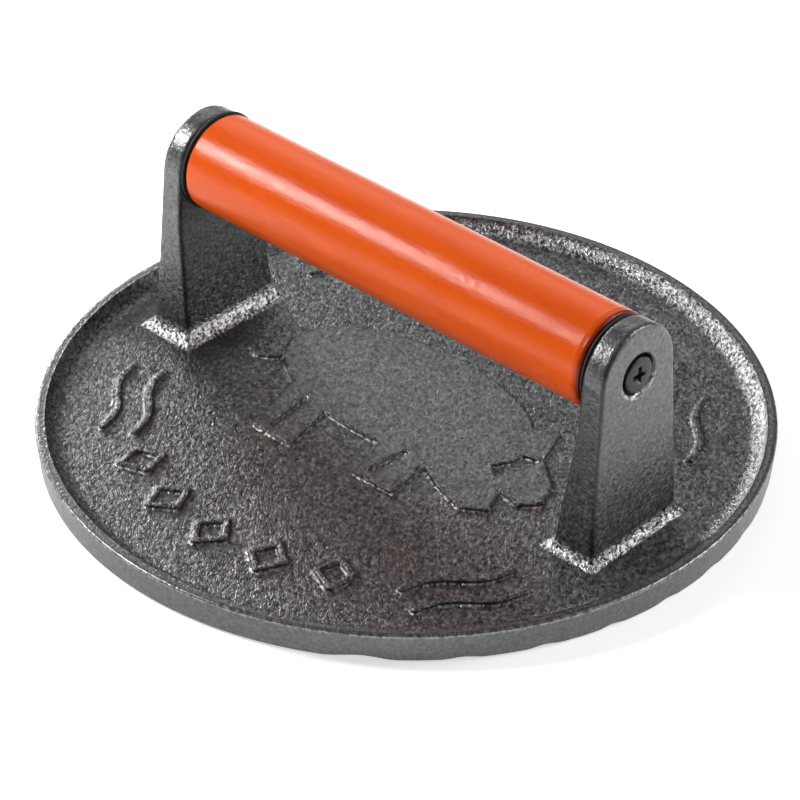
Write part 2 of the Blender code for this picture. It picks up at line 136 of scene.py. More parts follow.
RELIEF_HEIGHT = 0.0011
RELIEF_SHOULDER = 0.00022       # how far inside its outline a raised shape starts to fall away
RELIEF_SIDE = 0.00016           # how far outside its outline its steep side ends
RELIEF_FOOT = 0.0008            # how far outside its outline its root meets the field
RELIEF_ROOT_SHARE = 0.35        # how much of its height is the hollow root
RELIEF_REACH = 0.0012           # mesh points this close to an outline are drawn towards it
RELIEF_CLOSEST = 0.15           # and at most all but this share of the way
RELIEF_PROBE = 1e-5
MARK_RING_RADIUS = 0.0810
MARK_COUNT = 5
MARK_STEP = math.radians(14.5)
MARK_LENGTH = 0.0130
MARK_WIDTH = 0.0110
MARK_STROKE_WIDTH = 0.0021
WAVE_STARTS = ((0.0540, -0.0630), (0.0630, -0.0675))
WAVE_RUN = (0.0165, 0.0275)
WAVE_SHIFT = 0.0033
WAVE_HEIGHT = 0.0017
WAVE_WIDTH = 0.0022
WAVE_STEPS = 20
POST_ZONE = (0.064, 0.029)      # the uprights stand beyond this X and inside this Y
PIG_BODY_CENTRE = (-0.006, 0.007)
PIG_BODY_RADII = (0.046, 0.0245)
PIG_PIECES = [
    [(0.018, -0.012), (0.021, -0.0155), (0.030, -0.0205), (0.043, -0.0245),
     (0.051, -0.0195), (0.0465, -0.0105), (0.036, -0.002)],
    [(0.040, -0.008), (0.0465, -0.0105), (0.055, -0.012), (0.060, -0.0065),
     (0.056, 0.002), (0.046, 0.010)],
    [(0.028, 0.004), (0.046, 0.009), (0.041, 0.023), (0.033, 0.020)],
    [(-0.037, -0.008), (-0.0285, -0.035), (-0.024, -0.036), (-0.0275, -0.012)],
    [(-0.025, -0.011), (-0.0225, -0.036), (-0.013, -0.036), (-0.0195, -0.010)],
    [(-0.0285, -0.0330), (-0.0280, -0.0360), (-0.0130, -0.0360), (-0.0140, -0.0330)],
    [(0.003, -0.012), (0.0095, -0.0315), (0.0120, -0.0325), (0.0130, -0.012)],
    [(0.0152, -0.012), (0.0140, -0.0330), (0.025, -0.0325), (0.0212, -0.012)],
    [(0.0095, -0.0300), (0.0100, -0.0330), (0.0250, -0.0325), (0.0240, -0.0300)],
]
TAIL_CENTRE = (-0.0545, -0.0035)
TAIL_RADII = (0.0036, 0.0062)
TAIL_TURNS = (math.radians(-200), math.radians(32))
TAIL_WIDTH = 0.0018
TAIL_STEPS = 16

# --- Where the casting is smoother, its wall darker, and where shade and highlights are painted ---
# A pair of numbers is where an easing starts and where it is complete.
PIG_POLISH = 0.45
PIG_POLISH_FADE = 0.0015
PIG_POLISH_HEIGHTS = (0.0062, 0.0067)
POST_POLISH = 0.90
POST_POLISH_RISE = (0.003, 0.040)
RIM_POLISH = 0.55
RIM_POLISH_FADE = 0.0004
WALL_DEPTHS = (0.0012, 0.0006)          # inside the plate's radius
WALL_DARKNESS = 0.18

CORNER_DARKNESS = 0.80                  # painted shade on the uprights' front vertical edges
CORNER_FACING = (0.25, 0.85)
CORNER_HEIGHTS = (0.008, 0.011)
CORNER_REACH = (0.102, 0.104)
STEEP_UPWARD = (0.55, 0.93)             # painted shade on the raised shapes' steep sides
FIELD_MARGIN = 0.0005
FAR_FOOT_SHADE_STRENGTH = 0.75                    # a painted shadow on the field in front of the far upright's foot
FAR_FOOT_SHADE_CENTRE = -0.0802
FAR_FOOT_SHADE_HALF_SIZES = (0.0135, 0.0236)
FAR_FOOT_SHADE_FADE = 0.012
FAR_FOOT_SHADE_HEIGHT = 0.0002

ROOT_HEIGHTS = (0.00003, 0.00010)       # painted highlights on the raised shapes' front roots, above the field
ROOT_TOPS = (0.00040, 0.00070)          # and where they end
ROOT_FACING = (0.15, 0.45)
FILLET_START = (0.01, 0.06)             # painted highlights on the uprights' foot fillets: shares of a fillet's height
FILLET_END = (0.80, 1.10)
SLOPE_BRIGHTNESS = 0.50                 # a painted highlight on the rim's inner slope, towards the back
SLOPE_START = 0.0015
SLOPE_END = 0.0010
SLOPE_BACK = (-0.005, 0.110)
BROW_BRIGHTNESS = 0.55                  # a painted highlight on the rounded edge between the rim's top and the outer wall
BROW_DEPTHS = (0.0008, 0.0004)
BROW_DROPS = (0.0009, 0.0006)
LIP_RADII = (0.0056, 0.0061)            # painted highlights on the lower lips of the screw holes
LIP_OUTER_RADII = (0.0074, 0.0079)
LIP_DROP = 0.004
LIP_DEPTH = 0.001

# --- Grip and hardware: sizes of the finer shapes -----------------------------------------------
GRIP_END_LENGTH = 0.0012
GRIP_END_DROP = 0.0010
GRIP_END_STEPS = 10
GRIP_RINGS = 120
GRIP_SIDES = 144
GRIP_BORE_CHAMFER = 0.0004
RIDGE_FROM_END = 0.0028         # a low turned bead near one end of the grip, where the painted shade darkens the grip
RIDGE_SHAPE = ((-0.0004, -0.00006), (-0.0002, 0.0), (0.0, 0.00006), (0.0003, 0.0), (0.0006, 0.0))
NUT_BORE_RADIUS = 0.0028
NUT_BORE_OVERCUT = 0.001
NUT_BORE_END = 0.0003           # the nut's bore stops this far before the counterbore's floor
NUT_CLEARANCE = 0.0003          # round its barrel and under its head
NUT_CHAMFER = 0.0002
NUT_HEAD_ROUND = 0.0005
NUT_ROUND_DROP = 0.0006
NUT_DOME = 0.00002
NUT_DOME_SHARES = (0.6, 0.3)
NUT_SIDES = 72
RECESS_SPAN = 0.0060
RECESS_SLOT = 0.0016
RECESS_DEPTH = 0.0016
RECESS_NARROWING = (0.40, 0.65)   # shares of its span and slot left at its floor
RECESS_OVERCUT = 0.0002
WASHER_ROUND = 0.0003
WASHER_SIDES = 128
SHARP_NUT_ANGLE = math.radians(35)
SHARP_TURNED_ANGLE = math.radians(40)
MERGE_DISTANCE = 1e-7

# --- Materials: tones, noise scales and bump heights --------------------------------------------
IRON_TONES = ((0.106, 0.110, 0.112), (0.130, 0.135, 0.137))
POLISHED_IRON = (0.158, 0.162, 0.164)
SPECKLE_TONE = (0.30, 0.30, 0.30)
PIT_TONE = (0.03, 0.03, 0.031)
# tone of painted highlights
PAINTED_HIGHLIGHT_TONE = (0.62, 0.62, 0.62)
# tone of painted shade, also used for the outer wall's darker tone
SHADE_AND_WALL_TONE = (0.03, 0.03, 0.03)
GRAIN_TURN = math.radians(42.8)      # the sand grain is a little longer along this diagonal
GRAIN_STRETCH = (1.0, 1.45, 1.0)
GRAIN_SCALE = 930.0
FINE_GRAIN_SCALE = 2300.0
FINE_GRAIN_SHARE = 0.35
POLISHED_GRAIN = 0.30           # the share of the grain that is left where the casting is polished
PATCH_SCALE = 45.0
IRON_GLOSS_SCALE = 500.0
IRON_BUMP = 0.00052

WOOD_TONES = ((0.82, 0.090, 0.0008), (0.90, 0.114, 0.0012))
FIBRE_TONE = (0.92, 0.142, 0.003)
PORE_TONE = (0.33, 0.02, 0.003)
NEAR_END_SHADE_TONE = (0.16, 0.004, 0.001)
NEAR_END_SHADE = (0.0748, 0.0771)    # painted shade on the grip's near end: from this X to this X it darkens
FIBRE_STRETCH = (260.0, 1100.0, 1100.0)
FIGURE_STRETCH = (30.0, 170.0, 170.0)
BRUSH_STRETCH = (1500.0, 1300.0, 1300.0)
PORE_STRETCH = (500.0, 1900.0, 1900.0)
WOOD_BUMP = 0.00008
VARNISH_BUMP = 0.00011

STEEL_TONES = ((0.040, 0.040, 0.041), (0.075, 0.075, 0.076))
STEEL_SCALES = (900.0, 3000.0)  # of the mottle and of the bump
STEEL_BUMP = 0.00002
BLACK_FIBRE_TONES = ((0.010, 0.010, 0.011), (0.022, 0.022, 0.023))
BLACK_FIBRE_SCALES = (700.0, 1800.0)
BLACK_FIBRE_BUMP = 0.00004
FLOOR_TONES = ((0.88, 0.88, 0.88), (0.90, 0.90, 0.90))
FLOOR_SCALE = 3.0
FLOOR_GLOW = 0.58
WHITE = (1.0, 1.0, 1.0)

# --- Camera and light ---------------------------------------------------------------------------
CAMERA_AZIMUTH = math.radians(42.77)
CAMERA_ELEVATION = math.radians(34.88)
CAMERA_ROLL = math.radians(0.71)
CAMERA_DISTANCE = 1.018
CAMERA_LENS = 153.4
SENSOR_WIDTH = 36.0
AIM_RIGHT = -0.0019
AIM_UP = 0.0089
WORLD_STRENGTH = 0.15
FLOOR_RADIUS = 6.0
FLOOR_SIDES = 64
FLOOR_GAP = 0.0002              # the floor lies this far under the press
SOFTBOXES = (                   # name, place, point it faces, size, watts
    ("key", (-0.60, -0.40, 0.57), (0, 0, 0.03), (0.20, 0.14), 5.8),
    ("back_right", (1.0, 1.1, 0.95), (0, 0, 0.02), (0.8, 0.8), 14.0),
    ("back_left", (-0.95, 1.0, 0.95), (0, 0, 0.02), (1.0, 1.0), 3.4),
    ("low_left", (-1.6, 0.5, 0.35), (0, 0, 0.02), (0.6, 0.6), 17.0),
)


# --- Mesh helpers -------------------------------------------------------------------------------

def object_from(bm, name):
    bmesh.ops.recalc_face_normals(bm, faces=bm.faces)
    mesh = bpy.data.meshes.new(name)
    bm.to_mesh(mesh)
    bm.free()
    made = bpy.data.objects.new(name, mesh)
    bpy.context.scene.collection.objects.link(made)
    return made


def evaluated_mesh(item):
    bpy.context.view_layer.update()
    return bpy.data.meshes.new_from_object(item.evaluated_get(bpy.context.evaluated_depsgraph_get()))


def apply_modifiers(item):
    mesh = evaluated_mesh(item)
    item.modifiers.clear()
    item.data = mesh


def combine(target, tool, operation):
    """Apply a Boolean of target with tool, and remove the tool."""
    step = target.modifiers.new("combine", "BOOLEAN")
    step.operation = operation
    step.solver = "MANIFOLD"
    step.object = tool
    apply_modifiers(target)
    bpy.data.objects.remove(tool, do_unlink=True)


def turned(name, profile, sides, closed=False):
    """Spin (radius, height) points about local Z. An open profile gets flat ends."""
    bm = bmesh.new()
    points = [bm.verts.new((radius, 0.0, height)) for radius, height in profile]
    edges = [bm.edges.new(pair) for pair in zip(points, points[1:])]
    if closed:
        edges.append(bm.edges.new((points[-1], points[0])))
    bmesh.ops.spin(bm, geom=points + edges, cent=(0, 0, 0), axis=(0, 0, 1),
                   angle=math.tau, steps=sides, use_merge=True)
    bmesh.ops.remove_doubles(bm, verts=bm.verts, dist=MERGE_DISTANCE)
    bmesh.ops.holes_fill(bm, edges=[edge for edge in bm.edges if edge.is_boundary], sides=0)
    return object_from(bm, name)


def surface_points(mesh):
    """The places and the normals of a mesh's vertices, a row each."""
    places = np.empty(len(mesh.vertices) * 3, np.float32)
    normals = np.empty(len(mesh.vertices) * 3, np.float32)
    mesh.vertices.foreach_get("co", places)
    mesh.vertex_normals.foreach_get("vector", normals)
    return places.reshape(-1, 3), normals.reshape(-1, 3)


def finished(item, material, sharp_angle):
    """Smooth shading with sharp edges, and one material."""
    item.data.shade_smooth()
    item.data.set_sharp_from_angle(angle=sharp_angle)
    item.data.materials.clear()
    item.data.materials.append(material)


def along_grip(item, direction):
    """Bake a piece turned about local Z onto the grip axis, its +Z towards direction * X."""
    item.data.transform(Matrix.Translation((0, 0, GRIP_HEIGHT))
                        @ Matrix.Rotation(direction * math.pi / 2, 4, "Y"))


def round_corner(centre, radius, start, stop, steps=5):
    """Points (radius, height) on an arc, angles in degrees from the +radius direction."""
    points = []
    for index in range(steps + 1):
        angle = math.radians(start + (stop - start) * index / steps)
        points.append((centre[0] + radius * math.cos(angle), centre[1] + radius * math.sin(angle)))
    return points


def smooth_step(low, high, value):
    """0 up to low and 1 from high on, easing between them."""
    share = np.clip((value - low) / (high - low), 0.0, 1.0)
    return share * share * (3 - 2 * share)


# --- Raised decoration, as distances to its outlines ---------------------------------------------

def ellipse_distance(x, y, centre, radii):
    across, upward = x - centre[0], y - centre[1]
    stretch = np.hypot(across / radii[0], upward / radii[1])
    slope = np.hypot(across / radii[0] ** 2, upward / radii[1] ** 2) / np.maximum(stretch, 1e-6)
    return (stretch - 1) / np.maximum(slope, 1e-6)


def path_distance(x, y, path, closed=False):
    """Distance to a chain of straight stretches."""
    nearest = np.full(x.shape, np.inf)
    ends = list(zip(path, path[1:]))
    if closed:
        ends.append((path[-1], path[0]))
    for (ax, ay), (bx, by) in ends:
        run = (bx - ax, by - ay)
        share = ((x - ax) * run[0] + (y - ay) * run[1]) / (run[0] ** 2 + run[1] ** 2)
        share = np.clip(share, 0.0, 1.0)
        nearest = np.minimum(nearest, np.hypot(x - ax - share * run[0], y - ay - share * run[1]))
    return nearest


def polygon_distance(x, y, corners):
    """Signed distance to a convex polygon given anticlockwise: negative inside."""
    inside = np.full(x.shape, -np.inf)
    for (ax, ay), (bx, by) in zip(corners, corners[1:] + corners[:1]):
        length = math.hypot(bx - ax, by - ay)
        inside = np.maximum(inside, ((x - ax) * (by - ay) - (y - ay) * (bx - ax)) / length)
    return inside


def pig_distance(x, y):
    """A plain pig seen from its side, on the middle of the field."""
    parts = [ellipse_distance(x, y, PIG_BODY_CENTRE, PIG_BODY_RADII)]
    parts += [polygon_distance(x, y, outline) for outline in PIG_PIECES]
    return np.minimum.reduce(parts)


def tail_distance(x, y):
    """The pig's curled tail, a stroke along a spiral."""
    curl = []
    for index in range(TAIL_STEPS + 1):
        share = index / TAIL_STEPS
        angle = TAIL_TURNS[0] + (TAIL_TURNS[1] - TAIL_TURNS[0]) * share
        radius = TAIL_RADII[0] + (TAIL_RADII[1] - TAIL_RADII[0]) * share
        curl.append((TAIL_CENTRE[0] + radius * math.cos(angle),
                     TAIL_CENTRE[1] + radius * math.sin(angle)))
    return path_distance(x, y, curl) - TAIL_WIDTH / 2


def ring_point(radius, angle):
    """A point on the field, with the angle counted from the front (-Y) towards +X."""
    return (radius * math.sin(angle), -radius * math.cos(angle))


def lozenge(angle):
    """The corners of one diamond on the ring of marks."""
    reach, spread = MARK_LENGTH / 2, MARK_WIDTH / 2 / MARK_RING_RADIUS
    return [ring_point(MARK_RING_RADIUS - reach, angle), ring_point(MARK_RING_RADIUS, angle - spread),
            ring_point(MARK_RING_RADIUS + reach, angle), ring_point(MARK_RING_RADIUS, angle + spread)]


def wave(start, side):
    """A wavy stroke on the front right (side 1) or front left (side -1) of the field."""
    length = math.hypot(*WAVE_RUN)
    across = (WAVE_RUN[1] / length, -WAVE_RUN[0] / length)
    path = []
    for index in range(WAVE_STEPS + 1):
        share = index / WAVE_STEPS
        swing = -WAVE_HEIGHT * math.sin(math.tau * share)
        px = start[0] + WAVE_RUN[0] * share + across[0] * swing
        py = start[1] + WAVE_RUN[1] * share + across[1] * swing
        path.append((side * px + WAVE_SHIFT, py))
    return path


def marks_distance(x, y):
    """Five open diamonds front and back, and a pair of wavy strokes on all four sides."""
    nearest = np.full(x.shape, np.inf)
    for half_turn in (0.0, math.pi):
        for index in range(MARK_COUNT):
            angle = half_turn + MARK_STEP * (index - (MARK_COUNT - 1) / 2)
            outline = path_distance(x, y, lozenge(angle), closed=True)
            nearest = np.minimum(nearest, outline - MARK_STROKE_WIDTH / 2)
    for side in (1, -1):
        for start in WAVE_STARTS:
            path = wave(start, side)
            for stroke in (path, [(-px, -py) for px, py in path]):
                nearest = np.minimum(nearest, path_distance(x, y, stroke) - WAVE_WIDTH / 2)
    return nearest


# --- Casting ------------------------------------------------------------------------------------

def valley_depth(y):
    """Depth of the underside's valleys, which run along X."""
    index = np.floor(np.abs(y) / RIB_PITCH)
    offset = np.abs(np.abs(y) - (index + 0.5) * RIB_PITCH)
    width = np.where(index == LAST_VALLEY, LAST_VALLEY_WIDTH, VALLEY_WIDTH)
    depth = np.where(index == LAST_VALLEY, LAST_VALLEY_DEPTH, VALLEY_DEPTH)
    return np.where(index > LAST_VALLEY, 0.0, depth * (1 - smooth_step(0.0, 1.0, 2 * offset / width)))


def ring_sides(radius):
    """How many cells a ring has: a power of two that keeps each cell under CELL wide."""
    wanted = math.tau * radius / CELL
    return int(min(FINEST_RING, max(COARSEST_RING, 2 ** math.ceil(math.log2(wanted)))))


def plate_rows():
    """(radius, height rule) of each ring, from the top's centre round the rim to the underside's."""
    rows = []
    count = round(FIELD_RADIUS / TOP_STEP)
    for index in range(1, count):
        rows.append((FIELD_RADIUS * index / count, "field", 0.0))
    slope_outer = PLATE_RADIUS - RIM_TOP_WIDTH
    rise = RIM_HEIGHT - FIELD_HEIGHT
    for index in range(RIM_SLOPE_STEPS + 1):
        share = index / RIM_SLOPE_STEPS
        radius = FIELD_RADIUS + (slope_outer - FIELD_RADIUS) * share
        curve, arc = share ** RIM_SLOPE_POWER, 1 - math.sqrt(1 - share ** 2)
        height = rise * (RIM_SLOPE_SHARES[0] * curve + RIM_SLOPE_SHARES[1] * arc)
        rows.append((radius, "fixed", FIELD_HEIGHT + height))
    for radius in np.linspace(slope_outer + RIM_TOP_INSET, PLATE_RADIUS - RIM_EDGE_ROUND, RIM_TOP_STEPS):
        rows.append((float(radius), "fixed", RIM_HEIGHT))
    for index in range(1, RIM_EDGE_STEPS + 1):
        turn = math.pi / 2 * index / RIM_EDGE_STEPS
        rows.append((PLATE_RADIUS - RIM_EDGE_ROUND * (1 - math.sin(turn)), "fixed",
                     RIM_HEIGHT - RIM_EDGE_ROUND * (1 - math.cos(turn))))
    for index in range(1, WALL_STEPS + 1):
        share = index / WALL_STEPS
        rows.append((PLATE_RADIUS + (PLATE_FOOT_RADIUS - PLATE_RADIUS) * share, "wall", 1 - share))
    count = round(PLATE_FOOT_RADIUS / UNDER_STEP)
    for index in range(1, count):
        radius = (PLATE_FOOT_RADIUS - UNDER_CENTRE) * (1 - index / count) + UNDER_CENTRE
        rows.append((radius, "under", 0.0))
    return rows


def relief_distance(x, y):
    """Signed distance to the nearest raised outline of the field."""
    return np.minimum.reduce([pig_distance(x, y), tail_distance(x, y), marks_distance(x, y)])


def drawn_to_outlines(x, y):
    """Move points near a raised outline closer to it, so that its steep side gets several cells."""
    here = relief_distance(x, y)
    slope_x = (relief_distance(x + RELIEF_PROBE, y) - here) / RELIEF_PROBE
    slope_y = (relief_distance(x, y + RELIEF_PROBE) - here) / RELIEF_PROBE
    pull = here * (1 - np.clip(np.abs(here) / RELIEF_REACH, RELIEF_CLOSEST, 1.0))
    return x - slope_x * pull, y - slope_y * pull


def raised_share(distance):
    """1 on top of a raised shape and 0 off it: a steep side that ends in a hollow root."""
    side = 1 - smooth_step(-RELIEF_SHOULDER, RELIEF_SIDE, distance)
    root = (1 - np.clip(distance / RELIEF_FOOT, 0.0, 1.0)) ** 2
    return (1 - RELIEF_ROOT_SHARE) * side + RELIEF_ROOT_SHARE * root


def row_heights(x, y, rule, value):
    """Heights of a ring's points, by its rule."""
    if rule == "field":
        return FIELD_HEIGHT + RELIEF_HEIGHT * raised_share(relief_distance(x, y))
    if rule == "fixed":
        return np.full(x.shape, value)
    if rule == "wall":
        foot = valley_depth(y) + WALL_FOOT_HEIGHT
        return foot + (RIM_HEIGHT - RIM_EDGE_ROUND - foot) * value
    return valley_depth(y)


def join_rings(inner, outer, faces):
    """Faces between two rings of vertex numbers, where one may have twice the other's cells."""
    few, many = len(inner), len(outer)
    if few == many:
        for index in range(few):
            after = (index + 1) % few
            faces.append((inner[index], outer[index], outer[after], inner[after]))
    elif many == 2 * few:
        for index in range(few):
            after, first, second = (index + 1) % few, 2 * index, 2 * index + 1
            third = (2 * index + 2) % many
            faces.append((inner[index], outer[first], outer[second]))
            faces.append((inner[index], outer[second], inner[after]))
            faces.append((inner[after], outer[second], outer[third]))
    else:
        for index in range(many):
            after, first, second = (index + 1) % many, 2 * index, 2 * index + 1
            third = (2 * index + 2) % few
            faces.append((inner[first], outer[index], inner[second]))
            faces.append((inner[second], outer[index], outer[after]))
            faces.append((inner[second], outer[after], inner[third]))


def uneven(points, cell, height, seed):
    """Noise of one cell size at each point, between about -height and height."""
    shift = Vector((seed, 2.3 * seed, 5.1 * seed))
    return np.array([noise.noise(Vector(point) / cell + shift) for point in points]) * height


def plate():
    """The plate as rings of cells, finer than the CAD's: field, rim, wall and ribbed underside."""
    points, faces, before = [(0.0, 0.0, FIELD_HEIGHT + RELIEF_HEIGHT)], [], None
    for radius, rule, value in plate_rows():
        angles = np.arange(ring_sides(radius)) * math.tau / ring_sides(radius)
        x, y = radius * np.cos(angles), radius * np.sin(angles)
        if rule == "field":
            x, y = drawn_to_outlines(x, y)
        ring = list(range(len(points), len(points) + len(angles)))
        points.extend(zip(x.tolist(), y.tolist(), row_heights(x, y, rule, value).tolist()))
        if before is None:
            faces.extend((0, ring[index], ring[(index + 1) % len(ring)]) for index in range(len(ring)))
        else:
            join_rings(before, ring, faces)
        before = ring
    points.append((0.0, 0.0, 0.0))
    last = len(points) - 1
    faces.extend((before[index], last, before[(index + 1) % len(before)]) for index in range(len(before)))
    mesh = bpy.data.meshes.new("casting")
    mesh.from_pydata(points, [], faces)
    mesh.validate()
    made = bpy.data.objects.new("casting", mesh)
    bpy.context.scene.collection.objects.link(made)
    return made


def roughen(item, cells):
    """Push each vertex along its normal by a few sizes of noise: the cast surface's unevenness.

    The rim is smoother than the rest.
    """
    mesh = item.data
    places, normals = surface_points(mesh)
    push = np.zeros(len(places))
    for index, (cell, height) in enumerate(cells):
        push += uneven(places.tolist(), cell, height, UNEVENNESS_SEED + index)
    away = np.hypot(places[:, 0], places[:, 1])
    push *= 1 - RIM_EVENNESS * smooth_step(PLATE_RADIUS - RIM_TOP_WIDTH, PLATE_RADIUS - RIM_EDGE_ROUND, away)
    mesh.vertices.foreach_set("co", (places + normals * push[:, None]).astype(np.float32).ravel())
    mesh.update()


def post_inner(height):
    """X of an upright's face towards the grip."""
    below = max(0.0, POST_SEAT_FOOT - height) / (POST_SEAT_FOOT - FIELD_HEIGHT)
    return POST_SEAT + (POST_INNER_BASE - POST_SEAT) * below


def post_outer(height):
    """X of an upright's outward face."""
    share = (height - FIELD_HEIGHT) / (POST_ARC_HEIGHT + POST_TOP_RADIUS - FIELD_HEIGHT)
    return POST_OUTER_BASE + (POST_OUTER_TOP - POST_OUTER_BASE) * share


def post_outline(fillet):
    """Half outline from the foot to the apex: (half width, height, outward normal, flare)."""
    rows = [(POST_BASE_HALF_WIDTH, FIELD_HEIGHT - POST_SINK, (1.0, 0.0), fillet)]
    for index in range(POST_FLARE_STEPS + 1):
        turn = math.radians(POST_FLARE_START + (90 - POST_FLARE_START) * index / POST_FLARE_STEPS)
        height = FIELD_HEIGHT + fillet * (1 - math.cos(turn))
        rows.append((POST_BASE_HALF_WIDTH, height, (1.0, 0.0), fillet * (1 - math.sin(turn))))
    flank_foot = FIELD_HEIGHT + fillet
    for index in range(1, POST_FLANK_STEPS):
        share = index / POST_FLANK_STEPS
        rows.append((POST_BASE_HALF_WIDTH + (POST_TOP_RADIUS - POST_BASE_HALF_WIDTH) * share,
                     flank_foot + (POST_ARC_HEIGHT - flank_foot) * share, (1.0, 0.0), 0.0))
    for index in range(POST_ARC_STEPS + 1):
        turn = math.pi / 2 * index / POST_ARC_STEPS
        normal = (math.cos(turn), math.sin(turn))
        rows.append((POST_TOP_RADIUS * normal[0], POST_ARC_HEIGHT + POST_TOP_RADIUS * normal[1],
                     normal, 0.0))
    return rows


def post(side):
    """One upright, remeshed evenly and smoothed so that its edges are soft as cast."""
    bm = bmesh.new()
    rings = []
    for half_width, height, normal, flare in post_outline(POST_FILLETS[side]):
        edge_y = half_width + flare
        face_y = edge_y - POST_EDGE_ROUND * normal[0]
        face_z = height - POST_EDGE_ROUND * normal[1]
        inner, outer = post_inner(face_z) - flare, post_outer(face_z) + flare
        edge_inner = post_inner(height) - flare + POST_EDGE_ROUND
        edge_outer = post_outer(height) + flare - POST_EDGE_ROUND
        corners = [(inner, -face_y, face_z), (edge_inner, -edge_y, height),
                   (edge_outer, -edge_y, height), (outer, -face_y, face_z),
                   (outer, face_y, face_z), (edge_outer, edge_y, height),
                   (edge_inner, edge_y, height), (inner, face_y, face_z)]
        rings.append([bm.verts.new((side * x, side * y, z)) for x, y, z in corners])
    for lower, upper in zip(rings, rings[1:]):
        for index in range(8):
            after = (index + 1) % 8
            bm.faces.new((lower[index], lower[after], upper[after], upper[index]))
    bm.faces.new(rings[0])
    bmesh.ops.remove_doubles(bm, verts=bm.verts, dist=1e-6)
    made = object_from(bm, "post")
    remesh = made.modifiers.new("remesh", "REMESH")
    remesh.mode = "VOXEL"
    remesh.voxel_size = POST_CELL
    soften = made.modifiers.new("soften", "SMOOTH")
    soften.factor, soften.iterations = POST_SMOOTHING
    apply_modifiers(made)
    roughen(made, POST_UNEVENNESS)
    return made


def axis_cutter(profile, direction=1):
    """A turned cutter on the grip's axis."""
    made = turned("cutter", profile, BORE_SIDES)
    along_grip(made, direction)
    return made


def casting():
    made = plate()
    roughen(made, PLATE_UNEVENNESS)
    for side in (1, -1):
        combine(made, post(side), "UNION")
    bore = [(BORE_RADIUS, -PLATE_RADIUS), (BORE_RADIUS, PLATE_RADIUS)]
    combine(made, axis_cutter(bore), "DIFFERENCE")
    mouth = post_outer(GRIP_HEIGHT)
    mouth_radius = COUNTERBORE_RADIUS + 2 * COUNTERBORE_BREAK
    counterbore = [(COUNTERBORE_RADIUS, COUNTERBORE_FLOOR), (COUNTERBORE_RADIUS, mouth - COUNTERBORE_BREAK),
                   (mouth_radius, mouth + COUNTERBORE_BREAK), (mouth_radius, PLATE_RADIUS)]
    for side in (1, -1):
        combine(made, axis_cutter(counterbore, side), "DIFFERENCE")
    mark_surface(made.data)
    finished(made, cast_iron(), SHARP_IRON_ANGLE)
    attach(made, "press")
    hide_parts("cast_base")


def wall_share(away):
    """1 on the outer wall of the plate and 0 inside it."""
    return smooth_step(PLATE_RADIUS - WALL_DEPTHS[0], PLATE_RADIUS - WALL_DEPTHS[1], away)


def polish_weight(x, y, z, away):
    """Where the casting is smoother: the pig, the uprights, the rim's top and the outer wall."""
    on_pig = 1 - smooth_step(-PIG_POLISH_FADE, 0.0, pig_distance(x, y))
    on_pig *= smooth_step(*PIG_POLISH_HEIGHTS, z)
    on_post = smooth_step(*POST_POLISH_RISE, z - FIELD_HEIGHT)
    rim_start = PLATE_RADIUS - RIM_TOP_WIDTH
    on_rim = smooth_step(rim_start - RIM_POLISH_FADE, rim_start + RIM_POLISH_FADE, away)
    return np.maximum.reduce([PIG_POLISH * on_pig, POST_POLISH * on_post, RIM_POLISH * on_rim,
                              wall_share(away)])


def shade_and_wall_weight(x, y, z, away, normals, on_field):
    """Painted shade on the uprights' front corners, the relief's steep sides and in front of the far
    upright's foot; and the outer wall's darker tone.
    """
    across, along, upward = normals.T
    # painted shade along the uprights' front vertical edges
    corner = smooth_step(*CORNER_FACING, -2 * np.abs(across) * along) * smooth_step(*CORNER_HEIGHTS, z)
    corner *= 1 - smooth_step(*CORNER_REACH, away)
    # painted shade on the raised shapes' steep sides
    steep = (1 - smooth_step(*STEEP_UPWARD, upward)) * on_field
    # painted shadow on the field in front of the far upright's foot, fading towards the back
    past_x = np.abs(x - FAR_FOOT_SHADE_CENTRE) - FAR_FOOT_SHADE_HALF_SIZES[0]
    past_y = np.abs(y) - FAR_FOOT_SHADE_HALF_SIZES[1]
    beside = np.maximum(np.maximum(past_x, past_y), 0.0)
    far_foot_shade = (1 - smooth_step(0.0, FAR_FOOT_SHADE_FADE, beside)) * (1 - smooth_step(-FAR_FOOT_SHADE_FADE, FAR_FOOT_SHADE_FADE, y))
    far_foot_shade *= 1 - smooth_step(0.0, FAR_FOOT_SHADE_HEIGHT, z - FIELD_HEIGHT)
    far_foot_shade *= (x < 0) & (away < FIELD_RADIUS)
    return np.maximum.reduce([CORNER_DARKNESS * corner, steep, FAR_FOOT_SHADE_STRENGTH * far_foot_shade,
                              WALL_DARKNESS * wall_share(away)])


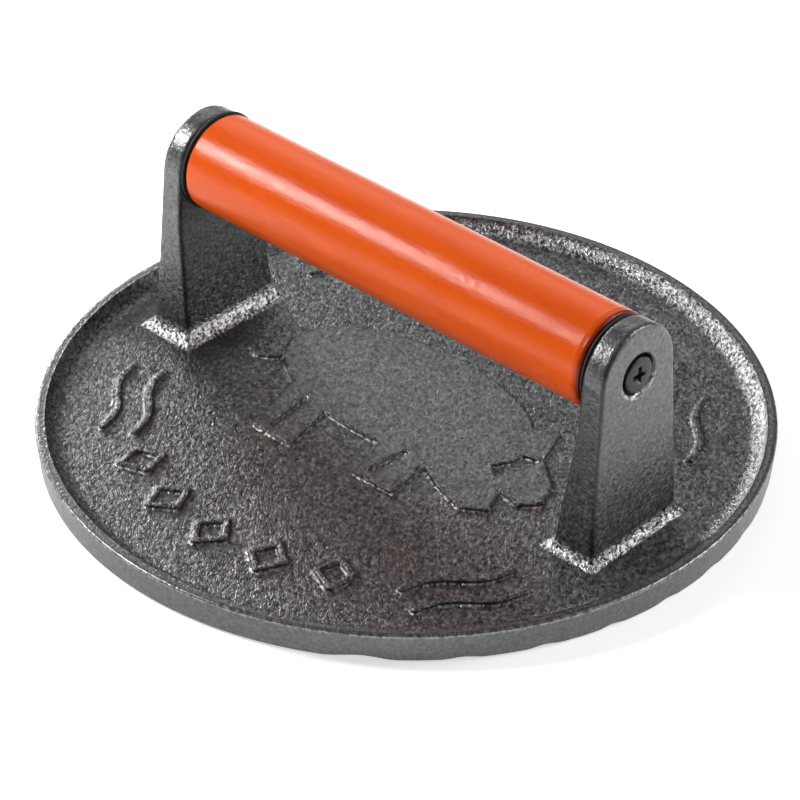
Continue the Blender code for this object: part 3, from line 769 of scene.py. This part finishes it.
def painted_highlight_weight(x, y, z, away, normals, on_field, at_post):
    """Painted highlights: roots of the relief, foot fillets, rim slope, brow, screw hole lips."""
    above = z - FIELD_HEIGHT
    # painted highlights on the raised shapes' front roots
    relief = (1 - smooth_step(*ROOT_TOPS, above)) * smooth_step(*ROOT_HEIGHTS, above)
    relief *= smooth_step(*ROOT_FACING, -normals[:, 1]) * on_field
    # painted highlights on the uprights' foot fillets
    climb = above / np.where(x > 0, POST_FILLETS[1], POST_FILLETS[-1])
    fillet = smooth_step(*FILLET_START, climb) * (1 - smooth_step(*FILLET_END, climb))
    fillet *= at_post & (away < FIELD_RADIUS)
    rim_start = PLATE_RADIUS - RIM_TOP_WIDTH
    # painted highlight on the rim's inner slope, towards the back
    slope = smooth_step(FIELD_RADIUS, FIELD_RADIUS + SLOPE_START, away)
    slope *= 1 - smooth_step(rim_start - SLOPE_END, rim_start, away)
    slope *= (z > FIELD_HEIGHT) * smooth_step(*SLOPE_BACK, y)
    # painted highlight on the rim's rounded outer edge
    brow = smooth_step(PLATE_RADIUS - BROW_DEPTHS[0], PLATE_RADIUS - BROW_DEPTHS[1], away)
    brow *= smooth_step(RIM_HEIGHT - BROW_DROPS[0], RIM_HEIGHT - BROW_DROPS[1], z)
    # painted highlights on the lower lips of the screw holes
    from_axis = np.hypot(y, z - GRIP_HEIGHT)
    lip = smooth_step(*LIP_RADII, from_axis) * (1 - smooth_step(*LIP_OUTER_RADII, from_axis))
    lip *= (np.abs(x) > COUNTERBORE_FLOOR + LIP_DEPTH) * smooth_step(0.0, LIP_DROP, GRIP_HEIGHT - z)
    return np.maximum.reduce([relief, fillet, SLOPE_BRIGHTNESS * slope, BROW_BRIGHTNESS * brow, lip])


def mark_surface(mesh):
    """Write the vertex weights that the cast iron's material reads: polish, painted shade with the wall's
    darker tone (edge), and painted highlights (root).
    """
    places, normals = surface_points(mesh)
    x, y, z = places.T
    away = np.hypot(x, y)
    at_post = (np.abs(x) > POST_ZONE[0]) & (np.abs(y) < POST_ZONE[1])
    on_field = (away < FIELD_RADIUS - FIELD_MARGIN) & (z > FIELD_HEIGHT - FIELD_MARGIN) & ~at_post
    # edge holds painted shade and the outer wall's darker tone; root holds painted highlights
    weights = {"polish": polish_weight(x, y, z, away),
               "edge": shade_and_wall_weight(x, y, z, away, normals, on_field),
               "root": painted_highlight_weight(x, y, z, away, normals, on_field, at_post)}
    for name, weight in weights.items():
        layer = mesh.attributes.new(name, "FLOAT", "POINT")
        layer.data.foreach_set("value", weight.astype(np.float32))


# --- Materials ----------------------------------------------------------------------------------

class Nodes:
    """A material's node tree, with short calls to add and join nodes."""

    def __init__(self, name):
        self.material = bpy.data.materials.new(name)
        self.material.use_nodes = True
        self.tree = self.material.node_tree
        self.shader = self.tree.nodes["Principled BSDF"]
        self.place = self.add("ShaderNodeTexCoord").outputs["Object"]

    def add(self, kind, **settings):
        node = self.tree.nodes.new(kind)
        for key, value in settings.items():
            setattr(node, key, value)
        return node

    def join(self, output, target):
        self.tree.links.new(output, target)

    def turned_place(self, turn, scale):
        """Coordinates turned about Z by an angle and then scaled."""
        node = self.add("ShaderNodeMapping", vector_type="TEXTURE")
        node.inputs["Rotation"].default_value = (0.0, 0.0, turn)
        node.inputs["Scale"].default_value = scale
        self.join(self.place, node.inputs["Vector"])
        return node.outputs["Vector"]

    def stretched(self, scale):
        node = self.add("ShaderNodeMapping")
        node.inputs["Scale"].default_value = scale
        self.join(self.place, node.inputs["Vector"])
        return node.outputs["Vector"]

    def noise(self, scale, detail=2.0, roughness=0.5, vector=None, distortion=0.0):
        node = self.add("ShaderNodeTexNoise")
        node.inputs["Scale"].default_value = scale
        node.inputs["Detail"].default_value = detail
        node.inputs["Roughness"].default_value = roughness
        node.inputs["Distortion"].default_value = distortion
        self.join(vector or self.place, node.inputs["Vector"])
        return node.outputs["Fac"]

    def spread(self, value, low, high, to_low, to_high):
        """Map the range low to high onto to_low to to_high."""
        node = self.add("ShaderNodeMapRange")
        for name, number in (("From Min", low), ("From Max", high), ("To Min", to_low), ("To Max", to_high)):
            node.inputs[name].default_value = number
        self.join(value, node.inputs["Value"])
        return node.outputs["Result"]

    def maths(self, operation, first, second):
        node = self.add("ShaderNodeMath", operation=operation)
        for socket, value in zip(node.inputs, (first, second)):
            if isinstance(value, (int, float)):
                socket.default_value = value
            else:
                self.join(value, socket)
        return node.outputs["Value"]

    def attribute(self, name):
        return self.add("ShaderNodeAttribute", attribute_name=name).outputs["Fac"]

    def blend(self, share, first, second):
        """Colour that goes from first to second as share goes from 0 to 1."""
        node = self.add("ShaderNodeMix", data_type="RGBA")
        for name, value in (("Factor", share), ("A", first), ("B", second)):
            socket = [s for s in node.inputs if s.name == name and s.enabled][0]
            if isinstance(value, (int, float)):
                socket.default_value = value
            elif isinstance(value, tuple):
                socket.default_value = (*value, 1.0)
            else:
                self.join(value, socket)
        return [s for s in node.outputs if s.enabled][0]

    def bump(self, height, distance):
        node = self.add("ShaderNodeBump")
        node.inputs["Distance"].default_value = distance
        node.inputs["Strength"].default_value = 1.0
        self.join(height, node.inputs["Height"])
        return node.outputs["Normal"]

    def set(self, **values):
        """Set or link the shader's sockets, named with underscores for spaces."""
        for name, value in values.items():
            socket = self.shader.inputs[name.replace("_", " ")]
            if isinstance(value, (int, float)):
                socket.default_value = value
            elif isinstance(value, tuple):
                socket.default_value = (*value, 1.0)
            else:
                self.join(value, socket)


def cast_iron():
    """Sand-cast iron: speckled and pitted grain, smoother where polished, with painted highlights and
    painted shade.
    """
    nodes = Nodes("cast_iron")
    # edge carries painted shade and the outer wall's darker tone; root carries painted highlights
    polish, edge, root = (nodes.attribute(name) for name in ("polish", "edge", "root"))
    sand = nodes.turned_place(GRAIN_TURN, GRAIN_STRETCH)
    grain = nodes.noise(GRAIN_SCALE, detail=2.5, roughness=0.6, vector=sand)
    fine = nodes.noise(FINE_GRAIN_SCALE, detail=1.0, vector=sand)
    patches = nodes.noise(PATCH_SCALE, detail=4.0, roughness=0.6)
    coarse = nodes.spread(polish, 0.0, 1.0, 1.0, POLISHED_GRAIN)
    tone = nodes.blend(nodes.spread(patches, 0.3, 0.7, 0.0, 1.0), *IRON_TONES)
    tone = nodes.blend(polish, tone, POLISHED_IRON)
    speckle = nodes.spread(grain, 0.52, 0.66, 0.0, 0.9)
    tone = nodes.blend(nodes.maths("MULTIPLY", speckle, coarse), tone, SPECKLE_TONE)
    pits = nodes.spread(grain, 0.47, 0.34, 0.0, 0.95)
    tone = nodes.blend(nodes.maths("MULTIPLY", pits, coarse), tone, PIT_TONE)
    # painted highlights where the root weight is set, broken up by the grain
    glint = nodes.spread(grain, 0.40, 0.60, 0.0, 1.0)
    tone = nodes.blend(nodes.maths("MULTIPLY", root, glint), tone, PAINTED_HIGHLIGHT_TONE)
    # painted shade where the edge weight is set, which also gives the outer wall its darker tone
    tone = nodes.blend(nodes.spread(edge, 0.0, 1.0, 0.0, 0.95), tone, SHADE_AND_WALL_TONE)
    gloss = nodes.spread(nodes.noise(IRON_GLOSS_SCALE, detail=3.0), 0.3, 0.7, 0.28, 0.40)
    height = nodes.maths("ADD", grain, nodes.maths("MULTIPLY", fine, FINE_GRAIN_SHARE))
    nodes.set(Base_Color=tone, Metallic=0.85, Roughness=gloss,
              Normal=nodes.bump(nodes.maths("MULTIPLY", height, coarse), IRON_BUMP))
    return nodes.material


def stained_wood():
    """Turned wood under an orange stain and a clear varnish, with painted shade darkening its near end."""
    nodes = Nodes("stained_wood")
    fibres = nodes.noise(1.0, detail=4.0, roughness=0.65, vector=nodes.stretched(FIBRE_STRETCH))
    figure = nodes.noise(1.0, detail=3.0, vector=nodes.stretched(FIGURE_STRETCH), distortion=0.8)
    brush = nodes.noise(1.0, detail=3.0, roughness=0.7, vector=nodes.stretched(BRUSH_STRETCH))
    pores = nodes.noise(1.0, detail=1.0, vector=nodes.stretched(PORE_STRETCH))
    tone = nodes.blend(nodes.spread(figure, 0.3, 0.7, 0.0, 1.0), *WOOD_TONES)
    tone = nodes.blend(nodes.spread(fibres, 0.45, 0.80, 0.0, 0.4), tone, FIBRE_TONE)
    tone = nodes.blend(nodes.spread(pores, 0.66, 0.74, 0.0, 0.25), tone, PORE_TONE)
    # painted shade darkening the grip's near end
    along = nodes.add("ShaderNodeSeparateXYZ")
    nodes.join(nodes.place, along.inputs["Vector"])
    tone = nodes.blend(nodes.spread(along.outputs["X"], *NEAR_END_SHADE, 0.0, 1.0), tone, NEAR_END_SHADE_TONE)
    height = nodes.maths("ADD", nodes.maths("MULTIPLY", fibres, 0.5), brush)
    nodes.set(Base_Color=tone, Roughness=nodes.spread(fibres, 0.3, 0.7, 0.40, 0.60),
              Specular_IOR_Level=0.05, Coat_Weight=0.62, Coat_Roughness=0.13, Coat_IOR=1.5,
              Normal=nodes.bump(height, WOOD_BUMP), Coat_Normal=nodes.bump(height, VARNISH_BUMP))
    return nodes.material


def dark_steel():
    """Blackened steel of the nuts, the rod and the spring washers."""
    nodes = Nodes("dark_steel")
    mottle = nodes.noise(STEEL_SCALES[0], detail=3.0, roughness=0.6)
    tone = nodes.blend(nodes.spread(mottle, 0.3, 0.7, 0.0, 1.0), *STEEL_TONES)
    nodes.set(Base_Color=tone, Metallic=0.9, Roughness=nodes.spread(mottle, 0.3, 0.7, 0.30, 0.45),
              Normal=nodes.bump(nodes.noise(STEEL_SCALES[1]), STEEL_BUMP))
    return nodes.material


def black_fibre():
    """Vulcanised fibre of the washers at the grip's ends."""
    nodes = Nodes("black_fibre")
    mottle = nodes.noise(BLACK_FIBRE_SCALES[0], detail=3.0, roughness=0.6)
    nodes.set(Base_Color=nodes.blend(mottle, *BLACK_FIBRE_TONES),
              Roughness=nodes.spread(mottle, 0.3, 0.7, 0.55, 0.75),
              Normal=nodes.bump(nodes.noise(BLACK_FIBRE_SCALES[1]), BLACK_FIBRE_BUMP))
    return nodes.material


def studio_floor():
    """A white floor that glows a little, so that it stays as pale as the backdrop."""
    nodes = Nodes("studio_floor")
    nodes.set(Base_Color=nodes.blend(nodes.noise(FLOOR_SCALE), *FLOOR_TONES), Roughness=0.9,
              Emission_Color=WHITE, Emission_Strength=FLOOR_GLOW)
    return nodes.material


# --- Grip and hardware --------------------------------------------------------------------------

def wooden_grip():
    """The turned grip: a bored sleeve with rounded-over ends."""
    half = (GRIP_HIGH.x - GRIP_LOW.x) / 2
    radius = (GRIP_HIGH.y - GRIP_LOW.y) / 2
    near_end = []
    for index in range(GRIP_END_STEPS + 1):
        turn = math.pi / 2 * index / GRIP_END_STEPS
        near_end.append((radius - GRIP_END_DROP * (1 - math.sin(turn)),
                         half - GRIP_END_LENGTH * (1 - math.cos(turn))))
    bore_mouth = BORE_RADIUS + GRIP_BORE_CHAMFER
    profile = [(bore_mouth, half)] + near_end
    ridge = half - RIDGE_FROM_END
    for offset, rise in RIDGE_SHAPE:
        profile.append((radius + rise, ridge - offset))
    start, stop = ridge - RIDGE_SHAPE[-1][0], GRIP_END_LENGTH - half
    for index in range(1, GRIP_RINGS):
        profile.append((radius, start + (stop - start) * index / GRIP_RINGS))
    profile += [(size, -height) for size, height in reversed(near_end)]
    profile += [(bore_mouth, -half), (BORE_RADIUS, GRIP_BORE_CHAMFER - half),
                (BORE_RADIUS, half - GRIP_BORE_CHAMFER)]
    made = turned("grip", profile, GRIP_SIDES, closed=True)
    finished(made, stained_wood(), SHARP_TURNED_ANGLE)
    along_grip(made, 1)
    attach(made, "grip")
    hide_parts("wooden_grip")


def cross_recess(top):
    """Cutter for a cross recess: two crossed slots that narrow downwards."""
    slots = []
    for turn in (0.0, math.pi / 2):
        bm = bmesh.new()
        bmesh.ops.create_cube(bm, size=1.0)
        for corner in bm.verts:
            low = corner.co.z < 0
            corner.co.x *= RECESS_SPAN * (RECESS_NARROWING[0] if low else 1.0)
            corner.co.y *= RECESS_SLOT * (RECESS_NARROWING[1] if low else 1.0)
            corner.co.z = top - RECESS_DEPTH if low else top + RECESS_OVERCUT
        bmesh.ops.rotate(bm, verts=bm.verts, cent=(0, 0, 0), matrix=Matrix.Rotation(turn, 3, "Z"))
        slots.append(object_from(bm, "slot"))
    combine(slots[0], slots[1], "UNION")
    return slots[0]


def sleeve_nuts(surface):
    """A countersunk head with a cross recess, and a barrel that takes the tie rod."""
    top, head = NUT_HIGH.x, (NUT_HIGH.y - NUT_LOW.y) / 2
    barrel = BORE_RADIUS - NUT_CLEARANCE
    under_head = SPRING_HIGH.x + NUT_CLEARANCE
    profile = [(NUT_BORE_RADIUS, NUT_LOW.x), (barrel, NUT_LOW.x), (barrel, under_head)]
    profile += [(head - NUT_CHAMFER, under_head), (head, under_head + NUT_CHAMFER)]
    profile += round_corner((head - NUT_HEAD_ROUND, top - NUT_ROUND_DROP), NUT_HEAD_ROUND, 0, 80)
    profile += [(head * NUT_DOME_SHARES[0], top - NUT_DOME), (head * NUT_DOME_SHARES[1], top)]
    bore = [(NUT_BORE_RADIUS, NUT_LOW.x - NUT_BORE_OVERCUT),
            (NUT_BORE_RADIUS, COUNTERBORE_FLOOR - NUT_BORE_END)]
    for name, node, direction in (("nut_near", "sleeve_nut_near", 1), ("nut_far", "sleeve_nut_far", -1)):
        made = turned(name, profile, NUT_SIDES)
        combine(made, turned("bore", bore, NUT_SIDES), "DIFFERENCE")
        combine(made, cross_recess(top), "DIFFERENCE")
        made.name = name
        finished(made, surface, SHARP_NUT_ANGLE)
        along_grip(made, direction)
        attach(made, "press")
        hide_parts(node)


def fibre_washers(surface):
    """The black discs at the grip's two ends, with rounded rims."""
    for name, direction in (("fibre_washer_near", 1), ("fibre_washer_far", -1)):
        low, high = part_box(name)
        inner, outer = sorted((abs(low.x), abs(high.x)))
        rim = (high.y - low.y) / 2 - WASHER_ROUND
        profile = [(BORE_RADIUS, inner)]
        profile += round_corner((rim, inner + WASHER_ROUND), WASHER_ROUND, -90, 0)
        profile += round_corner((rim, outer - WASHER_ROUND), WASHER_ROUND, 0, 90)
        profile += [(BORE_RADIUS, outer)]
        made = turned("washer" + name[len("fibre_washer"):], profile, WASHER_SIDES, closed=True)
        finished(made, surface, SHARP_TURNED_ANGLE)
        along_grip(made, direction)
        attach(made, "press")
        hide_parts(name)


def kept_nodes(surface):
    """The hidden rod and the spring washers keep their CAD shapes."""
    for name in ("tie_rod", "spring_washer_near", "spring_washer_far"):
        mesh = frame["nodes"][name].data
        mesh.materials.clear()
        mesh.materials.append(surface)


# --- Stage --------------------------------------------------------------------------------------

def camera():
    """The camera, turned round the plate's middle and aimed a little off it."""
    away = Vector((math.sin(CAMERA_AZIMUTH) * math.cos(CAMERA_ELEVATION),
                   -math.cos(CAMERA_AZIMUTH) * math.cos(CAMERA_ELEVATION), math.sin(CAMERA_ELEVATION)))
    right = Vector((math.cos(CAMERA_AZIMUTH), math.sin(CAMERA_AZIMUTH), 0.0))
    up = away.cross(right)
    data = bpy.data.cameras.new("camera")
    data.lens = CAMERA_LENS
    data.sensor_width = SENSOR_WIDTH
    made = bpy.data.objects.new("camera", data)
    bpy.context.scene.collection.objects.link(made)
    turn = Matrix((right, up, away)).transposed() @ Matrix.Rotation(CAMERA_ROLL, 3, "Z")
    made.matrix_world = turn.to_4x4()
    made.location = away * CAMERA_DISTANCE + right * AIM_RIGHT + up * AIM_UP
    bpy.context.scene.camera = made


def softbox(name, place, aim, size, watts):
    """A rectangular lamp at a place, facing the aim."""
    data = bpy.data.lights.new(name, "AREA")
    data.shape = "RECTANGLE"
    data.size, data.size_y = size
    data.energy = watts
    made = bpy.data.objects.new(name, data)
    made.location = place
    made.rotation_euler = (Vector(place) - Vector(aim)).to_track_quat("Z", "Y").to_euler()
    bpy.context.scene.collection.objects.link(made)


def stage():
    """Floor, even surroundings and four softboxes."""
    bm = bmesh.new()
    bmesh.ops.create_circle(bm, cap_ends=True, radius=FLOOR_RADIUS, segments=FLOOR_SIDES)
    floor = object_from(bm, "floor")
    floor.location.z = cad_low[2] - FLOOR_GAP
    floor.data.materials.append(studio_floor())
    world = bpy.data.worlds.new("studio")
    bpy.context.scene.world = world
    world.use_nodes = True
    background = world.node_tree.nodes["Background"]
    background.inputs["Color"].default_value = (*WHITE, 1.0)
    background.inputs["Strength"].default_value = WORLD_STRENGTH
    for lamp in SOFTBOXES:
        softbox(*lamp)
    bpy.context.scene.view_settings.view_transform = "Standard"


def main():
    casting()
    wooden_grip()
    steel = dark_steel()
    sleeve_nuts(steel)
    fibre_washers(black_fibre())
    kept_nodes(steel)
    camera()
    stage()


main()
